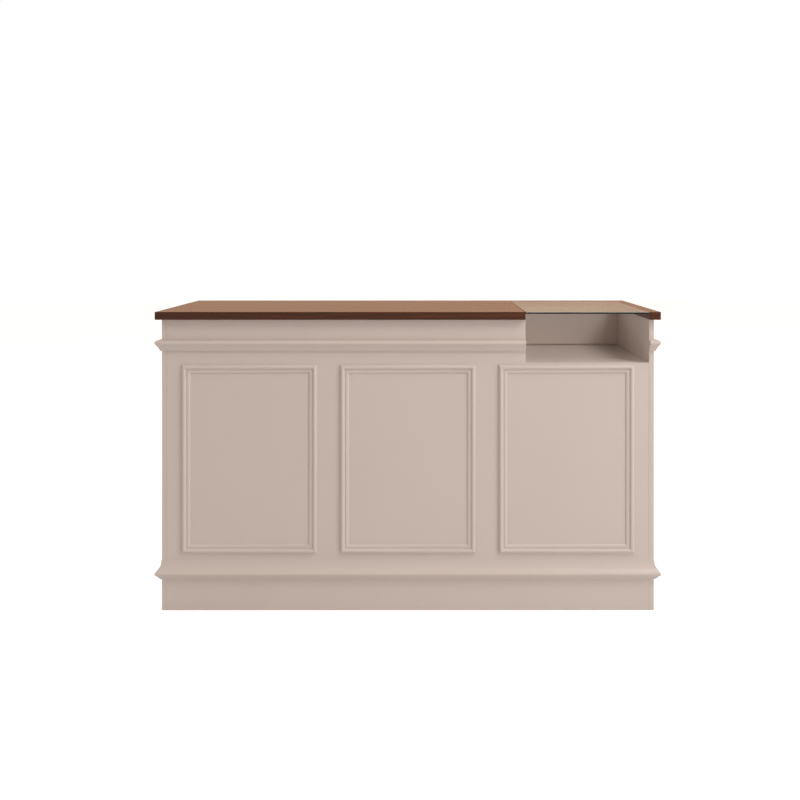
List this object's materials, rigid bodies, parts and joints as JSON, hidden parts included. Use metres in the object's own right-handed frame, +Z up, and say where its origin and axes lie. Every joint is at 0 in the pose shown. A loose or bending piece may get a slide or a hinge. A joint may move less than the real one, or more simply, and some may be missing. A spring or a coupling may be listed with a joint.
{
  "type": "checkout counter",
  "caption": "Shop checkout counter with a walnut top, a panelled front with mouldings, a glass-topped display recess, and a drawer, tray and doors for the staff.",
  "frame": {"origin": "on the floor under the middle of the countertop", "axes": "+X to the right of a customer who faces the counter, +Y from the customer's side to the staff side, +Z up"},
  "size_m": [1.6, 0.5, 0.95],
  "materials": {
    "cream_painted_board": "satin paint on fibreboard",
    "white_melamine_board": "melamine-faced board",
    "oiled_walnut": "oiled, straight grain along the length",
    "clear_glass": "polished edges",
    "brushed_steel": "zinc plated",
    "brushed_brass": "brushed"
  },
  "bodies": {
    "carcass": {"side_panel_left": "cream_painted_board", "side_panel_right": "cream_painted_board", "front_panel": "cream_painted_board", "toe_kick": "cream_painted_board", "bottom_panel": "cream_painted_board", "partition_left": "cream_painted_board", "partition_right": "cream_painted_board", "drawer_divider": "cream_painted_board", "display_floor": "cream_painted_board", "display_back": "cream_painted_board", "shelf_left": "cream_painted_board", "shelf_center": "cream_painted_board", "shelf_right": "cream_painted_board", "crown_front": "cream_painted_board", "crown_return": "cream_painted_board", "crown_left": "cream_painted_board", "crown_right": "cream_painted_board", "base_moulding_front": "cream_painted_board", "base_moulding_left": "cream_painted_board", "base_moulding_right": "cream_painted_board", "panel_frame_left": "cream_painted_board", "panel_frame_center": "cream_painted_board", "panel_frame_right": "cream_painted_board", "side_frame_left": "cream_painted_board", "side_frame_right": "cream_painted_board", "countertop": "oiled_walnut", "display_glass": "clear_glass", "glass_peg_left_front": "brushed_steel", "glass_peg_left_back": "brushed_steel", "glass_peg_right_front": "brushed_steel", "glass_peg_right_back": "brushed_steel", "drawer_slide_left_outer": "brushed_steel", "drawer_slide_right_outer": "brushed_steel", "lock_strike": "brushed_steel", "tray_runner_left": "brushed_steel", "tray_runner_right": "brushed_steel", "door_left_hinge_cabinet_leaf": "brushed_brass", "door_right_hinge_cabinet_leaf": "brushed_brass"},
    "cash_drawer": {"drawer_front": "cream_painted_board", "drawer_side_left": "white_melamine_board", "drawer_side_right": "white_melamine_board", "drawer_back": "white_melamine_board", "drawer_bottom": "white_melamine_board", "drawer_handle": "brushed_brass", "lock_housing": "brushed_steel", "drawer_slide_left_inner": "brushed_steel", "drawer_slide_right_inner": "brushed_steel"},
    "drawer_slides": {"drawer_slide_left_middle": "brushed_steel", "drawer_slide_right_middle": "brushed_steel"},
    "lock": {"lock_plug": "brushed_steel", "lock_cam": "brushed_steel", "key": "brushed_brass"},
    "keyboard_tray": {"keyboard_tray": "cream_painted_board", "tray_front": "cream_painted_board"},
    "left_door": {"door_left": "cream_painted_board", "door_left_knob": "brushed_brass", "door_left_hinge_door_leaf": "brushed_brass"},
    "right_door": {"door_right": "cream_painted_board", "door_right_knob": "brushed_brass", "door_right_hinge_door_leaf": "brushed_brass"}
  },
  "joints": [
    {"name": "drawer_slide", "type": "slide", "parent": "carcass", "child": "cash_drawer", "axis": [0, 1, 0], "range_m": [0, 0.3]},
    {"name": "drawer_middle_slide", "type": "slide", "parent": "carcass", "child": "drawer_slides", "axis": [0, 1, 0], "range_m": [0, 0.15]},
    {"name": "lock_turn", "type": "hinge", "parent": "cash_drawer", "child": "lock", "pos_m": [-0.542, 0.217, 0.897], "axis": [0, -1, 0], "range_deg": [0, 90]},
    {"name": "keyboard_tray_slide", "type": "slide", "parent": "carcass", "child": "keyboard_tray", "axis": [0, 1, 0], "range_m": [0, 0.2]},
    {"name": "left_door_hinge", "type": "hinge", "parent": "carcass", "child": "left_door", "pos_m": [-0.76575, 0.2205, 0.4435], "axis": [0, 0, 1], "range_deg": [0, 110]},
    {"name": "right_door_hinge", "type": "hinge", "parent": "carcass", "child": "right_door", "pos_m": [0.76575, 0.2205, 0.4435], "axis": [0, 0, -1], "range_deg": [0, 110]}
  ],
  "couplings": [
    {"joint": "drawer_middle_slide", "follows": "drawer_slide", "ratio": 0.5}
  ]
}
